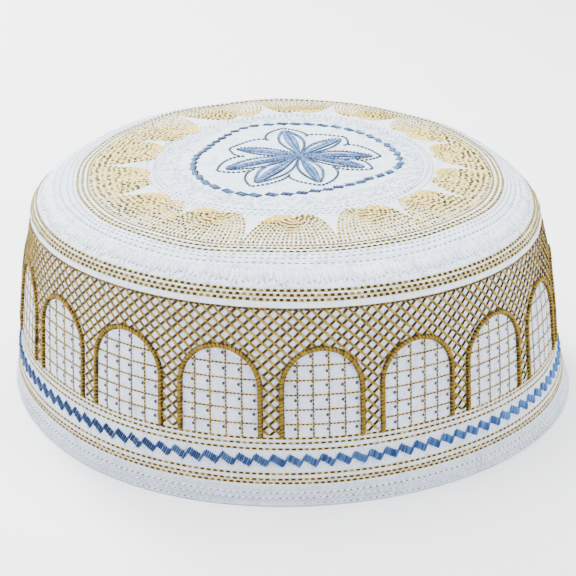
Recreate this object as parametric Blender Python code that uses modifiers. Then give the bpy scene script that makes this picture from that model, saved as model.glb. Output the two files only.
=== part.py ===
# Embroidered cloth prayer cap: a flat crown, a flared side band, a stitched hem and raised arch cords.
# Metres, +Z up. The rim rests on z = 0, and the front looks along -Y.

import math

import bpy
from mathutils import Vector

# Driving dimensions of the cap
HEAD_GIRTH = 0.590          # round the inside of the rim
CAP_HEIGHT = 0.0771         # rim's underside to the top of the crown
SEAM_HEIGHT = 0.0623        # rim's underside to the seam of band and crown
SHOULDER_RISE = 0.0052      # above this height over the seam the cap's plan keeps its shape
SEAM_RADIUS = 0.0881        # outside of the band at that seam
BAND_THICKNESS = 0.0022
BAND_HOLLOW = 0.0013        # how far the band's side curves in from a straight cone
CROWN_THICKNESS = 0.0018
FOLD_REACH = 0.0007         # how far the crown's rolled edge stands out past the band
FOLD_STRIP = 0.0015         # straight strip at the edge of that fold, along the band's side
HEM_HEIGHT = 0.0062
HEM_THICKNESS = 0.0024
HEM_ROUNDING = 0.0006       # radius of the hem's two lower edges
SEAM_GAP = 0.0003           # between neighbouring pieces
CROWN_SHIFT_SIDE = -0.0018  # how far the crown sits off the middle of the rim, along X
CROWN_SHIFT_BACK = 0.0002   # and along Y
BULGE_DEPTH = 0.0038        # how far the cloth stands out at its largest bulge

# Raised cords of the arches
ARCH_COUNT = 19
ARCH_TURN = math.radians(6.4)       # first arch's turn from the front towards +X
PIER_WIDTH = 0.0063                 # between the cords of two neighbouring arches, at their feet
ARCH_FOOT_LIFT = 0.0151             # hem's top to the arches' feet
ARCH_CREST_DROP = 0.0125            # seam down to the arches' crests
ARCH_HEAD = 0.0127                  # height of an arch's round head
CORD_DIAMETER = 0.0015

# Fineness of the mesh
ROUND_STEPS = 72
ROUNDING_STEPS = 2
CORD_LEG_STEPS = 3
CORD_HEAD_STEPS = 12
CORD_SIDES_LEVEL = 1        # a bevel resolution of 1 gives six sides
MERGE_DISTANCE = 0.00001
LEAN_SPAN = 0.02            # share of the seam height over which the band's lean is measured

# Side of the band: share of the seam height, share of the hollow
BAND_ROWS = (
    (0.000, 0.00),
    (0.120, 0.36),
    (0.235, 1.00),
    (0.500, 0.66),
    (0.750, 0.33),
    (1.000, 0.00),
)

# Crown from its middle to its folded edge: share of the edge's radius, share of the rise above the edge
CROWN_ROWS = (
    (0.000, 1.000),
    (0.190, 0.987),
    (0.396, 0.944),
    (0.598, 0.865),
    (0.740, 0.785),
    (0.826, 0.716),
    (0.872, 0.642),
    (0.914, 0.528),
    (0.945, 0.400),
    (0.969, 0.272),
    (0.986, 0.150),
    (0.996, 0.060),
    (1.000, 0.000),
)

# Waves of the cap's plan, as shares of the radius: waves in a turn, cosine and sine at the rim and at the shoulder
PLAN_WAVES = (
    (2, 0.0001, -0.0093, -0.0409, 0.0053),
    (3, 0.0214, 0.0003, -0.0010, -0.0188),
)

# Soft bulges, and dents where the last share is less than zero: angle from +X in degrees, share of the cap's
# height, half width in degrees, half height as a share of the cap's height, share of the bulge depth
BULGES = (
    (2.0, 0.15, 24.0, 0.30, -0.25),
    (181.0, 0.18, 24.0, 0.30, 0.77),
    (60.0, 0.50, 30.0, 0.35, -0.25),
    (128.0, 0.62, 24.0, 0.30, -0.26),
    (0.0, 0.48, 34.0, 0.20, 0.22),
    (178.0, 0.55, 34.0, 0.22, 0.39),
    (-8.0, 0.85, 30.0, 0.12, -0.23),
)

CLOTH_WHITE = (0.86, 0.88, 0.92, 1.0)
HEM_WHITE = (0.82, 0.84, 0.88, 1.0)
THREAD_GOLD = (0.55, 0.36, 0.11, 1.0)

FRONT_ANGLE = -math.pi / 2
RIM_INNER_RADIUS = HEAD_GIRTH / math.tau
RIM_RADIUS = RIM_INNER_RADIUS + HEM_THICKNESS
ARCH_FOOT_HEIGHT = HEM_HEIGHT + ARCH_FOOT_LIFT
ARCH_RISE = SEAM_HEIGHT - ARCH_CREST_DROP - ARCH_FOOT_HEIGHT


def upper_share(height):
    """From 0 at the rim to 1 at the shoulder and above it."""
    return min(max(height / (SEAM_HEIGHT + SHOULDER_RISE), 0.0), 1.0)


def plan_stretch(angle, height):
    """Share by which the radius differs from a circle, at an angle and a height."""
    upper = upper_share(height)
    stretch = 1.0
    for waves, rim_cos, rim_sin, top_cos, top_sin in PLAN_WAVES:
        along = rim_cos + (top_cos - rim_cos) * upper
        across = rim_sin + (top_sin - rim_sin) * upper
        stretch += along * math.cos(waves * angle) + across * math.sin(waves * angle)
    return stretch


def bulge_reach(angle, height):
    """How far the cloth bulges out at a place; less than zero in a dent."""
    reach = 0.0
    for middle, level, half_width, half_height, share in BULGES:
        turn = math.remainder(angle - math.radians(middle), math.tau) / math.radians(half_width)
        rise = (height / CAP_HEIGHT - level) / half_height
        reach += share * BULGE_DEPTH * math.exp(-turn * turn - rise * rise)
    return reach


def rim_centre():
    """Middle of the rim's box, which the cap is centred on."""
    outline = []
    for step in range(ROUND_STEPS):
        angle = math.tau * step / ROUND_STEPS
        outline.append(round_place(RIM_RADIUS, angle, 0.0))
    across = [place.x for place in outline]
    along = [place.y for place in outline]
    return Vector(((min(across) + max(across)) / 2, (min(along) + max(along)) / 2, 0.0))


def round_place(radius, angle, height):
    """Place of a point of the turned cap once the cloth has its uneven plan and its bulges."""
    reach = radius * plan_stretch(angle, height)
    reach += bulge_reach(angle, height) * radius / RIM_RADIUS
    shift = Vector((CROWN_SHIFT_SIDE, CROWN_SHIFT_BACK, 0.0)) * upper_share(height)
    return Vector((reach * math.cos(angle), reach * math.sin(angle), height)) + shift


def band_radius(height):
    """Outer radius of the side band at a height."""
    share = height / SEAM_HEIGHT
    for (low, low_hollow), (high, high_hollow) in zip(BAND_ROWS, BAND_ROWS[1:]):
        if share <= high:
            break
    part = (share - low) / (high - low)
    hollow = low_hollow + (high_hollow - low_hollow) * part
    return RIM_RADIUS + (SEAM_RADIUS - RIM_RADIUS) * share - BAND_HOLLOW * hollow


def band_lean(height):
    """Angle by which the band's side leans inwards at a height."""
    step = SEAM_HEIGHT * LEAN_SPAN
    return math.atan2(band_radius(height - step) - band_radius(height + step), 2 * step)


def surface_material(name, colour, roughness, metallic):
    material = bpy.data.materials.new(name)
    material.use_nodes = True
    shader = material.node_tree.nodes["Principled BSDF"]
    shader.inputs["Base Color"].default_value = colour
    shader.inputs["Roughness"].default_value = roughness
    shader.inputs["Metallic"].default_value = metallic
    material.diffuse_color = colour
    return material


def turned_object(name, profile, closed, material, collection):
    """Turn a profile of (radius, height), run down its outer side, and give it the cap's uneven plan."""
    edges = [(row, row + 1) for row in range(len(profile) - 1)]
    if closed:
        edges.append((len(profile) - 1, 0))
    outline = bpy.data.meshes.new(name + "_profile")
    outline.from_pydata([(radius, 0.0, height) for radius, height in profile], edges, [])
    guide = bpy.data.objects.new(name + "_profile", outline)
    collection.objects.link(guide)
    screw = guide.modifiers.new("Turn", "SCREW")
    screw.axis = "Z"
    screw.angle = math.tau
    screw.steps = ROUND_STEPS
    screw.render_steps = ROUND_STEPS
    screw.use_merge_vertices = True
    screw.merge_threshold = MERGE_DISTANCE
    screw.use_smooth_shade = True
    graph = bpy.context.evaluated_depsgraph_get()
    mesh = bpy.data.meshes.new_from_object(guide.evaluated_get(graph))
    bpy.data.objects.remove(guide)
    bpy.data.meshes.remove(outline)

    centre = rim_centre()
    for vertex in mesh.vertices:
        radius = math.hypot(vertex.co.x, vertex.co.y)
        angle = math.atan2(vertex.co.y, vertex.co.x)
        vertex.co = round_place(radius, angle, vertex.co.z) - centre
    mesh.name = name
    mesh.materials.clear()
    mesh.materials.append(material)
    piece = bpy.data.objects.new(name, mesh)
    collection.objects.link(piece)
    return piece


def give_wall(piece, thickness):
    """Thicken an open skin inwards."""
    wall = piece.modifiers.new("Wall", "SOLIDIFY")
    wall.thickness = thickness
    wall.offset = -1.0
    wall.use_even_offset = True
    wall.use_rim = True


def make_crown(collection):
    """A shallow dome whose rounded shoulder ends in a straight strip along the band's side."""
    foot_height = SEAM_HEIGHT + SEAM_GAP / 2
    foot_radius = SEAM_RADIUS + FOLD_REACH
    edge_height = foot_height + FOLD_STRIP
    edge_radius = foot_radius - FOLD_STRIP * math.tan(band_lean(SEAM_HEIGHT))
    rise = CAP_HEIGHT - edge_height
    profile = []
    for radius_share, rise_share in CROWN_ROWS:
        profile.append((edge_radius * radius_share, edge_height + rise * rise_share))
    profile.append((foot_radius, foot_height))
    material = surface_material("crown_cloth", CLOTH_WHITE, 0.85, 0.0)
    crown = turned_object("crown", profile, False, material, collection)
    give_wall(crown, CROWN_THICKNESS)


def make_side_band(collection):
    foot = HEM_HEIGHT + SEAM_GAP
    top = SEAM_HEIGHT - SEAM_GAP / 2
    heights = [top]
    for share, _ in reversed(BAND_ROWS[1:-1]):
        if foot < SEAM_HEIGHT * share < top:
            heights.append(SEAM_HEIGHT * share)
    heights.append(foot)
    profile = [(band_radius(height), height) for height in heights]
    material = surface_material("band_cloth", CLOTH_WHITE, 0.85, 0.0)
    band = turned_object("side_band", profile, False, material, collection)
    give_wall(band, BAND_THICKNESS)


def corner_arc(centre_radius, centre_height, start, end):
    """Points of a rounded lower edge of the hem, between two angles in degrees."""
    points = []
    for step in range(ROUNDING_STEPS + 1):
        angle = math.radians(start + (end - start) * step / ROUNDING_STEPS)
        points.append((centre_radius + HEM_ROUNDING * math.cos(angle),
                       centre_height + HEM_ROUNDING * math.sin(angle)))
    return points


def make_hem(collection):
    """A strip with a flat underside, rounded lower edges and a top square to the band's side."""
    lean = band_lean(HEM_HEIGHT)
    top_radius = band_radius(HEM_HEIGHT)
    profile = [(top_radius, HEM_HEIGHT)]
    profile += corner_arc(RIM_RADIUS - HEM_ROUNDING, HEM_ROUNDING, 0.0, -90.0)
    profile += corner_arc(RIM_INNER_RADIUS + HEM_ROUNDING, HEM_ROUNDING, -90.0, -180.0)
    profile.append((top_radius - HEM_THICKNESS * math.cos(lean), HEM_HEIGHT - HEM_THICKNESS * math.sin(lean)))
    material = surface_material("hem_cloth", HEM_WHITE, 0.85, 0.0)
    turned_object("hem", profile, True, material, collection)


def arch_route():
    """One arch as (share of its half width, share of its rise), from the left foot over the crest to the right."""
    head_foot = 1.0 - ARCH_HEAD / ARCH_RISE
    left = [(-1.0, head_foot * step / CORD_LEG_STEPS) for step in range(CORD_LEG_STEPS)]
    head = []
    for step in range(CORD_HEAD_STEPS + 1):
        turn = math.pi * step / CORD_HEAD_STEPS
        head.append((-math.cos(turn), head_foot + (1.0 - head_foot) * math.sin(turn)))
    right = [(-across, rise) for across, rise in reversed(left)]
    return left + head + right


def cord_place(angle, height):
    """Middle of a cord that lies on the band at a place."""
    lean = band_lean(height)
    stand = CORD_DIAMETER / 2 + SEAM_GAP
    radius = band_radius(height) + stand * math.cos(lean)
    place = round_place(radius, angle, height)
    place.z += stand * math.sin(lean)
    return place


def make_arch_cord(number, collection, material, centre):
    middle = FRONT_ANGLE + ARCH_TURN + math.tau * number / ARCH_COUNT
    half_sweep = math.pi / ARCH_COUNT - PIER_WIDTH / 2 / band_radius(ARCH_FOOT_HEIGHT)
    name = f"arch_cord_{number + 1:02d}"
    curve = bpy.data.curves.new(name, "CURVE")
    curve.dimensions = "3D"
    curve.bevel_depth = CORD_DIAMETER / 2
    curve.bevel_resolution = CORD_SIDES_LEVEL
    curve.use_fill_caps = True
    route = arch_route()
    line = curve.splines.new("POLY")
    line.points.add(len(route) - 1)
    for point, (across, rise) in zip(line.points, route):
        place = cord_place(middle + half_sweep * across, ARCH_FOOT_HEIGHT + ARCH_RISE * rise) - centre
        point.co = (*place, 1.0)
    curve.materials.append(material)
    collection.objects.link(bpy.data.objects.new(name, curve))


def make_arch_cords(collection):
    material = surface_material("gold_thread", THREAD_GOLD, 0.4, 0.7)
    centre = rim_centre()
    for number in range(ARCH_COUNT):
        make_arch_cord(number, collection, material, centre)


def main():
    for old in list(bpy.data.objects):
        bpy.data.objects.remove(old, do_unlink=True)
    cap = bpy.data.collections.new("prayer_cap")
    bpy.context.scene.collection.children.link(cap)
    make_crown(cap)
    make_side_band(cap)
    make_hem(cap)
    make_arch_cords(cap)


main()
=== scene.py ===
import math

import bpy
import numpy as np
from mathutils import Matrix, Vector


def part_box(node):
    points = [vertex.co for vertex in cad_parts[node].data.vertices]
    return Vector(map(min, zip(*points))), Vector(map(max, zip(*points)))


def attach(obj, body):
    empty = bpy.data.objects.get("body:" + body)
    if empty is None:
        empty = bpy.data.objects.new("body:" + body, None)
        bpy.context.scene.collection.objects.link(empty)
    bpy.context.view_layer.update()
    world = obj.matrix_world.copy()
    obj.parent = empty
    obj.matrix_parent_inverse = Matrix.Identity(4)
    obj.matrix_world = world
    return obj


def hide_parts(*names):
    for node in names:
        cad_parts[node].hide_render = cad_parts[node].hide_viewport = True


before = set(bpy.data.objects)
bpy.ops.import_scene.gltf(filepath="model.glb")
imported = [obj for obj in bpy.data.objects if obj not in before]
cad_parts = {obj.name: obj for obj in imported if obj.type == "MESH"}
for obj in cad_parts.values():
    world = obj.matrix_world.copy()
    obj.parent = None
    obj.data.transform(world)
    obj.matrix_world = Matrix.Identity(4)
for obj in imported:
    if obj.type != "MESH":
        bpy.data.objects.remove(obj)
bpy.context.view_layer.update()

# Embroidered prayer cap: white cloth with gold, blue and white stitching. Metres, the front looks along -Y.
# A turn is an angle in degrees from the front towards +X. A run is a distance along the cloth.

chance = np.random.default_rng(19)
mm = 0.001

# the cap's own form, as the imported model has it
cap = {
    "headGirth": 0.590,
    "height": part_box("crown")[1].z,
    "seamHeight": 0.0623,
    "seamRadius": 0.0881,
    "seamGap": 0.0003,
    "shoulderRise": 0.0052,
    "bandHollow": 0.0013,
    "bandThickness": 0.0022,
    "crownThickness": 0.0018,
    "crownSide": -0.0018,
    "crownBack": 0.0002,
    "bulgeDepth": 0.0038,
    "foldReach": 0.0007,
    "foldStrip": 0.0015,
    "hemHeight": 0.0062,
    "hemThickness": 0.0024,
    "stepsRound": 240,          # points round each piece of cloth
}
rimRadius = cap["headGirth"] / math.tau + cap["hemThickness"]

# side of the band: share of the seam height, share of the hollow
bandRows = ((0.0, 0.0), (0.12, 0.36), (0.235, 1.0), (0.5, 0.66), (0.75, 0.33), (1.0, 0.0))

# crown from its folded edge to its middle: share of the edge's radius, share of the rise above the edge
crownRows = ((1.0, 0.0), (0.996, 0.06), (0.986, 0.15), (0.969, 0.272), (0.945, 0.4), (0.914, 0.528),
             (0.872, 0.642), (0.826, 0.716), (0.74, 0.785), (0.598, 0.865), (0.396, 0.944),
             (0.19, 0.987), (0.0, 1.0))

# waves of the plan: waves in a turn, cosine and sine at the rim, cosine and sine at the shoulder
planWaves = ((2, 0.0001, -0.0093, -0.0409, 0.0053), (3, 0.0214, 0.0003, -0.0010, -0.0188))

# soft bulges and dents: degrees from +X, share of the height, half width, half height, share of the depth
bulges = ((2, 0.15, 24, 0.30, -0.25), (181, 0.18, 24, 0.30, 0.77), (60, 0.50, 30, 0.35, -0.25),
          (128, 0.62, 24, 0.30, -0.26), (0, 0.48, 34, 0.20, 0.22), (178, 0.55, 34, 0.22, 0.39),
          (-8, 0.85, 30, 0.12, -0.23))


def bandRadius(height):
    share = np.asarray(height) / cap["seamHeight"]
    hollow = np.interp(share, *np.transpose(bandRows))
    return rimRadius + (cap["seamRadius"] - rimRadius) * share - cap["bandHollow"] * hollow


def looseRoundPlace(radius, angle, height):
    upper = np.clip(height / (cap["seamHeight"] + cap["shoulderRise"]), 0, 1)
    stretch = 1.0
    for waves, rimCos, rimSin, topCos, topSin in planWaves:
        stretch = stretch + (rimCos + (topCos - rimCos) * upper) * np.cos(waves * angle)
        stretch = stretch + (rimSin + (topSin - rimSin) * upper) * np.sin(waves * angle)
    reach = radius * stretch
    for middle, level, halfWidth, halfHeight, share in bulges:
        turn = (np.degrees(angle) - middle + 180) % 360 - 180
        rise = (height / cap["height"] - level) / halfHeight
        swell = np.exp(-(turn / halfWidth) ** 2 - rise ** 2)
        reach = reach + share * cap["bulgeDepth"] * swell * radius / rimRadius
    x = reach * np.cos(angle) + cap["crownSide"] * upper
    y = reach * np.sin(angle) + cap["crownBack"] * upper
    return np.stack(np.broadcast_arrays(x, y, height + 0 * reach), -1)


def findRimCentre():
    outline = looseRoundPlace(rimRadius, np.radians(np.arange(0, 360, 5)), 0.0)
    return (outline.min(0) + outline.max(0)) / 2


rimCentre = findRimCentre()


def roundPlace(radius, angle, height):
    return looseRoundPlace(radius, angle, height) - rimCentre


def measureAlong(points):
    # each point's distance along the line
    return np.concatenate([[0], np.cumsum(np.linalg.norm(np.diff(points, axis=0), axis=1))])


def layProfile(radii, heights, softness, closesAtTop):
    # a profile from its foot up, evenly spaced and softened, with its outward direction
    along = measureAlong(np.transpose((radii, heights)))
    step = 0.25 * mm
    run = np.linspace(0, along[-1], round(along[-1] / step) + 1)
    radius, height = np.interp(run, along, radii), np.interp(run, along, heights)
    reach = int(3 * softness / step)
    weights = np.exp(-0.5 * (np.arange(-reach, reach + 1) * step / softness) ** 2)

    def soften(values, mirrored):
        before = 2 * values[0] - values[reach:0:-1]
        after = values[-2:-reach - 2:-1] if mirrored else 2 * values[-1] - values[-2:-reach - 2:-1]
        return np.convolve(np.concatenate([before, values, after]), weights / weights.sum(), "valid")

    radius, height = soften(radius, False), soften(height, closesAtTop)
    if closesAtTop:
        radius[-1] = 0.0
    slopeR, slopeZ = np.gradient(radius, run), np.gradient(height, run)
    size = np.hypot(slopeR, slopeZ)
    return {"run": run, "radius": radius, "height": height, "out": slopeZ / size, "up": -slopeR / size}


wallHeights = np.linspace(0, cap["seamHeight"], 60)
wall = layProfile(bandRadius(wallHeights), wallHeights, 1.5 * mm, False)

footHeight = cap["seamHeight"] + cap["seamGap"] / 2
footRadius = cap["seamRadius"] + cap["foldReach"]
leanSpan = 0.02 * cap["seamHeight"]       # over which the band's lean at the seam is measured
seamLean = (bandRadius(cap["seamHeight"] - leanSpan) - cap["seamRadius"]) / leanSpan
edgeHeight = footHeight + cap["foldStrip"]
edgeRadius = footRadius - cap["foldStrip"] * seamLean
crownRadii = [footRadius] + [edgeRadius * row[0] for row in crownRows]
crownHeights = [footHeight] + [edgeHeight + (cap["height"] - edgeHeight) * row[1] for row in crownRows]
crown = layProfile(crownRadii, crownHeights, 1.3 * mm, True)


def wallRun(height):
    return np.interp(height, wall["height"], wall["run"])


def crownRun(radius):
    return np.interp(-np.asarray(radius), -crown["radius"], crown["run"])


def rimTurn(length):
    return math.degrees(length / rimRadius)


def relief(cloth, angle, run):
    # grooves along the stitched lines and ripples of the cloth
    rise = 0.0 * run * angle
    for at, depth, width in cloth["grooves"]:
        rise = rise - depth * np.exp(-((run - at) / width) ** 2)
    for waves, slant, size, phase, at, width in cloth["ripples"]:
        fade = np.exp(-((run - at) / width) ** 2)
        rise = rise + size * fade * np.sin(waves * angle + slant * run + phase)
    return rise


# how far the crown's rings lie in or out, as the hand-fed cloth slipped: degrees and mm
slipPlaces = ((-180, 0.5), (-150, -2.0), (-114, -2.6), (-78, 0.0), (-49, 2.0), (-19, 1.9), (10, -0.2),
              (36, -0.3), (68, 2.0), (109, 4.0), (150, 2.5), (180, 0.5))


def slip(turn, run):
    radius = np.interp(run, crown["run"], crown["radius"]) / mm
    push = np.interp((turn + 180) % 360 - 180, *np.transpose(slipPlaces))
    fade = np.where(push > 0, (84 - radius) / 10, (69 - radius) / 17)
    return push * mm * np.clip(radius / 72, 0, 1) * np.clip(fade, 0, 1)


def readProfile(cloth, at, *columns):
    return (np.interp(at, cloth["run"], cloth[column]) for column in columns)


def skin(cloth, turn, run, lift=0.0):
    # a place on the cloth, from its turn and its run before any slip
    turn, run = np.asarray(turn, float), np.asarray(run, float)
    angle = np.radians(turn - 90)
    at = run - slip(turn, run) if cloth is crown else run
    radius, height, out, up = readProfile(cloth, at, "radius", "height", "out", "up")
    lift = lift + relief(cloth, angle, run)
    return roundPlace(radius + out * lift, angle, height + up * lift)


def skinUp(cloth, turn, run):
    # the direction square to the cloth there
    angle = np.radians(np.asarray(turn, float) - 90)
    out, up = readProfile(cloth, run, "out", "up")
    return np.stack([out * np.cos(angle), out * np.sin(angle), up + 0 * angle], -1)


def onWall(turn, height, lift=0.0):
    return skin(wall, turn, wallRun(height), lift)


def wallUp(turn, height):
    return skinUp(wall, turn, wallRun(height))


# stitched lines and where they lie: heights on the wall and the shoulder, radii on the crown, in mm
lines = {
    "lowerGold": (7.3, 8.4, 10.1),
    "upperGold": (17.8, 19.7),
    "archFoot": 21.2,
    "latticeTop": 61.8,
    "shoulderGold": (64.8, 65.9, 67.0),
    "ghostRings": (78.0, 75.7, 73.9),
    "crownGold": (72.3, 70.6),
    "fanFoot": 68.9,
    "innerRings": (48.9, 47.3, 45.6),
}
shoulderRuns = np.interp(np.multiply(lines["shoulderGold"], mm), crown["height"], crown["run"])

# grooves: run, depth, width
wallLines = (*lines["lowerGold"], *lines["upperGold"], lines["archFoot"], lines["latticeTop"])
crownRings = (*lines["ghostRings"], *lines["crownGold"], lines["fanFoot"], *lines["innerRings"])
wall["grooves"] = [(wallRun(height * mm), 0.28 * mm, 0.6 * mm) for height in wallLines]
crown["grooves"] = [(run, 0.28 * mm, 0.6 * mm) for run in shoulderRuns]
crown["grooves"] += [(crownRun(radius * mm), 0.336 * mm, 0.6 * mm) for radius in crownRings]

# ripples: waves in a turn, slant for each metre, height, phase, middle and half width along the run
wall["ripples"] = [
    (9, 40, 0.16 * mm, 0.4, 0.020, 0.020),
    (14, -60, 0.12 * mm, 2.0, 0.040, 0.022),
    (61, 30, 0.07 * mm, 0.9, 0.0615, 0.0035),
    (83, -50, 0.06 * mm, 2.2, 0.004, 0.0035),
]
crown["ripples"] = [
    (8, 50, 0.22 * mm, 1.1, 0.014, 0.010),
    (13, -90, 0.16 * mm, 0.2, 0.022, 0.010),
    (47, 0, 0.14 * mm, 0.7, 0.0014, 0.0018),
    (59, 60, 0.11 * mm, 1.9, 0.0030, 0.0025),
    (5, 120, 0.16 * mm, 2.6, 0.060, 0.022),
]


# shader maths written as Python expressions
class Number:
    def __init__(self, finish, socket):
        self.finish, self.socket = finish, socket

    def maths(self, operation, *values):
        return self.finish.add("ShaderNodeMath", {"operation": operation}, list(values))

    def __add__(self, other):
        return self.maths("ADD", self, other)

    def __rsub__(self, other):
        return self.maths("SUBTRACT", other, self)

    def __mul__(self, other):
        return self.maths("MULTIPLY", self, other)

    def sine(self):
        return self.maths("SINE", self)


class Finish:
    def __init__(self, name, **fixed):
        self.material = bpy.data.materials.new(name)
        self.material.use_nodes = True
        self.tree = self.material.node_tree
        self.shader = self.tree.nodes["Principled BSDF"]
        for socket, value in fixed.items():
            self.shader.inputs[socket.replace("_", " ")].default_value = value

    def add(self, kind, settings=None, inputs=None, output=0):
        node = self.tree.nodes.new(kind)
        for setting, value in (settings or {}).items():
            setattr(node, setting, value)
        pairs = inputs.items() if isinstance(inputs, dict) else enumerate(inputs or [])
        for socket, value in pairs:
            self.feed(node.inputs[socket], value)
        return Number(self, node.outputs[output])

    def feed(self, socket, value):
        if isinstance(value, Number):
            self.tree.links.new(value.socket, socket)
        else:
            socket.default_value = value

    def flatPlace(self, uvMap):
        flat = self.add("ShaderNodeUVMap", {"uv_map": uvMap})
        split = self.add("ShaderNodeSeparateXYZ", None, [flat])
        return split, Number(self, split.socket.node.outputs[1])

    def noise(self, place, scale, detail):
        return self.add("ShaderNodeTexNoise", None, {"Vector": place, "Scale": scale, "Detail": detail})

    def mix(self, share, first, second):
        first, second = ((*c, 1.0) if isinstance(c, tuple) else c for c in (first, second))
        return self.add("ShaderNodeMix", {"data_type": "RGBA"}, {0: share, 6: first, 7: second}, 2)

    def smooth(self, value, low, high):
        return self.add("ShaderNodeMapRange", {"interpolation_type": "SMOOTHSTEP"},
                        {0: value, 1: low, 2: high, 3: 0.0, 4: 1.0})

    def wear(self, colour, bumps=()):
        # bumps come as (height, strength, distance)
        self.feed(self.shader.inputs["Base Color"], colour)
        normal = {}
        for height, strength, distance in bumps:
            bump = {"Height": height, "Strength": strength, "Distance": distance}
            normal = {"Normal": self.add("ShaderNodeBump", None, bump | normal)}
            self.feed(self.shader.inputs["Normal"], normal["Normal"])
        return self.material


def weaveCloth(name, light, shade, weaveSize):
    # plain cotton weave over the cloth's own UV map, which is in metres
    cloth = Finish(name, Roughness=0.82, Sheen_Weight=0.25, Sheen_Roughness=0.5, Specular_IOR_Level=0.3)
    across, along = cloth.flatPlace("cloth")
    pitch = math.tau / weaveSize
    weave = (across * pitch).sine() * (along * pitch).sine()
    place = cloth.add("ShaderNodeTexCoord", None, None, 3)
    slub, pucker, cloud = (cloth.noise(place, *size) for size in ((900.0, 2.0), (130.0, 4.0), (28.0, 2.0)))
    tint = cloth.mix(cloth.smooth(cloud * 0.5 + slub * 0.5, 0.35, 0.65), shade, light)
    return cloth.wear(tint, [(weave, 0.5, 0.0001), (pucker, 1.0, 0.005), (slub, 0.5, 0.0004)])


def threadFinish(name, shine, light, middle, dark, dash, across):
    # light and dark follow each stitch, and the dark is painted shade and painted dark reflection of the
    # raised thread: dash is the dark stretch along it, across the dark stretch over it;
    # a dash that ends before it begins leaves both ends of the stitch dark
    thread = Finish(name, **shine)
    along, over = thread.flatPlace("thread")
    tone = thread.add("ShaderNodeAttribute", {"attribute_name": "tone"}, None, 2)

    def stretch(value, low, high, soft=0.08):
        rise = thread.smooth(value, low - soft, low + soft)
        return rise * (1 - thread.smooth(value, high - soft, high + soft))

    shadow = stretch(along, min(dash), max(dash))
    if dash[0] > dash[1]:
        shadow = 1 - shadow
    shadow = shadow * stretch(over, *across) * thread.smooth(tone, -0.8, 0.35)
    base = thread.mix(thread.smooth(tone, 0.1, 0.9), light, middle)
    colour = thread.mix(shadow, base, dark)
    twist = (along * 38.0 + over * 7.0).sine()
    return thread.wear(colour, [(twist, 0.4, 0.00005)])


def clearSelection():
    if bpy.context.object and bpy.context.object.mode != "OBJECT":
        bpy.ops.object.mode_set(mode="OBJECT")
    bpy.ops.object.select_all(action="DESELECT")


def addObject(name, data):
    piece = bpy.data.objects.new(name, data)
    bpy.context.scene.collection.objects.link(piece)
    return piece


def choose(piece):
    clearSelection()
    piece.select_set(True)
    bpy.context.view_layer.objects.active = piece


def editWhole(step, **settings):
    # one edit step on the whole mesh of the chosen piece
    bpy.ops.object.mode_set(mode="EDIT")
    bpy.ops.mesh.select_all(action="SELECT")
    step(**settings)
    bpy.ops.object.mode_set(mode="OBJECT")


def readPoints(mesh):
    points = np.zeros(len(mesh.vertices) * 3)
    mesh.vertices.foreach_get("co", points)
    return points.reshape(-1, 3)


def movePoints(mesh, points):
    mesh.vertices.foreach_set("co", np.asarray(points, np.float32).ravel())
    mesh.update()


def layClothMap(piece, flatten):
    # the cloth laid flat, in metres, for its weave
    mesh = piece.data
    layer = mesh.uv_layers.new(name="cloth")
    points = readPoints(mesh)
    corners = np.zeros(len(mesh.loops), np.int32)
    mesh.loops.foreach_get("vertex_index", corners)
    layer.data.foreach_set("uv", flatten(points)[corners].astype(np.float32).ravel())


# finishes of the cloth: light and shaded colour, weave. All three are the same white cotton; the band and
# the hem are painted darker as painted shade of the upright wall, and the blue cast of all three is partly
# painted cool shade
cottons = {
    "crown": weaveCloth("crownCotton", (0.74, 0.83, 0.955), (0.665, 0.755, 0.885), 0.55 * mm),
    "band": weaveCloth("bandCottonPaintedShade", (0.635, 0.70, 0.81), (0.555, 0.62, 0.73), 0.55 * mm),
    "hem": weaveCloth("hemCottonPaintedShade", (0.555, 0.62, 0.725), (0.455, 0.52, 0.63), 0.5 * mm),
}

# threads of each slot: light, middle and dark colour, dark stretch along a stitch and over it; the dark
# colour laid over these stretches is painted shade and painted dark reflection
goldShine = {"Roughness": 0.5, "Metallic": 0.1, "Specular_IOR_Level": 0.15}
softShine = {"Roughness": 0.55, "Metallic": 0.0, "Specular_IOR_Level": 0.3}
umber = (0.032, 0.016, 0.003)
golds = {
    "goldRunningThread": ((0.72, 0.57, 0.23), (0.58, 0.42, 0.12), umber, (0.21, 0.82), (0.15, 0.85)),
    "goldRingThread": ((0.70, 0.54, 0.17), (0.52, 0.38, 0.08), (0.018, 0.010, 0.003),
                       (0.24, 0.8), (0.1, 0.9)),
    "goldLatticeThread": ((0.43, 0.28, 0.038), (0.22, 0.135, 0.013), umber, (0.16, 0.84), (-1.0, 0.8)),
    "goldGridThread": ((0.50, 0.35, 0.10), (0.33, 0.215, 0.04), umber, (0.2, 0.8), (0.15, 0.85)),
    # the satin gold is dark overall as painted shade of the raised cords, and its dark ends are painted
    # shade where the strands go into the cloth
    "goldSatinThread": ((0.325, 0.208, 0.024), (0.115, 0.067, 0.007), umber, (0.74, 0.24), (-1.0, 2.0)),
    "goldFanThread": ((0.90, 0.72, 0.25), (0.74, 0.54, 0.12), (0.018, 0.010, 0.002),
                      (0.26, 0.76), (0.03, 0.97)),
    "goldFillThread": ((0.90, 0.69, 0.18), (0.74, 0.50, 0.08), (0.34, 0.20, 0.025), (0.35, 0.6), (0.2, 0.8)),
}
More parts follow.
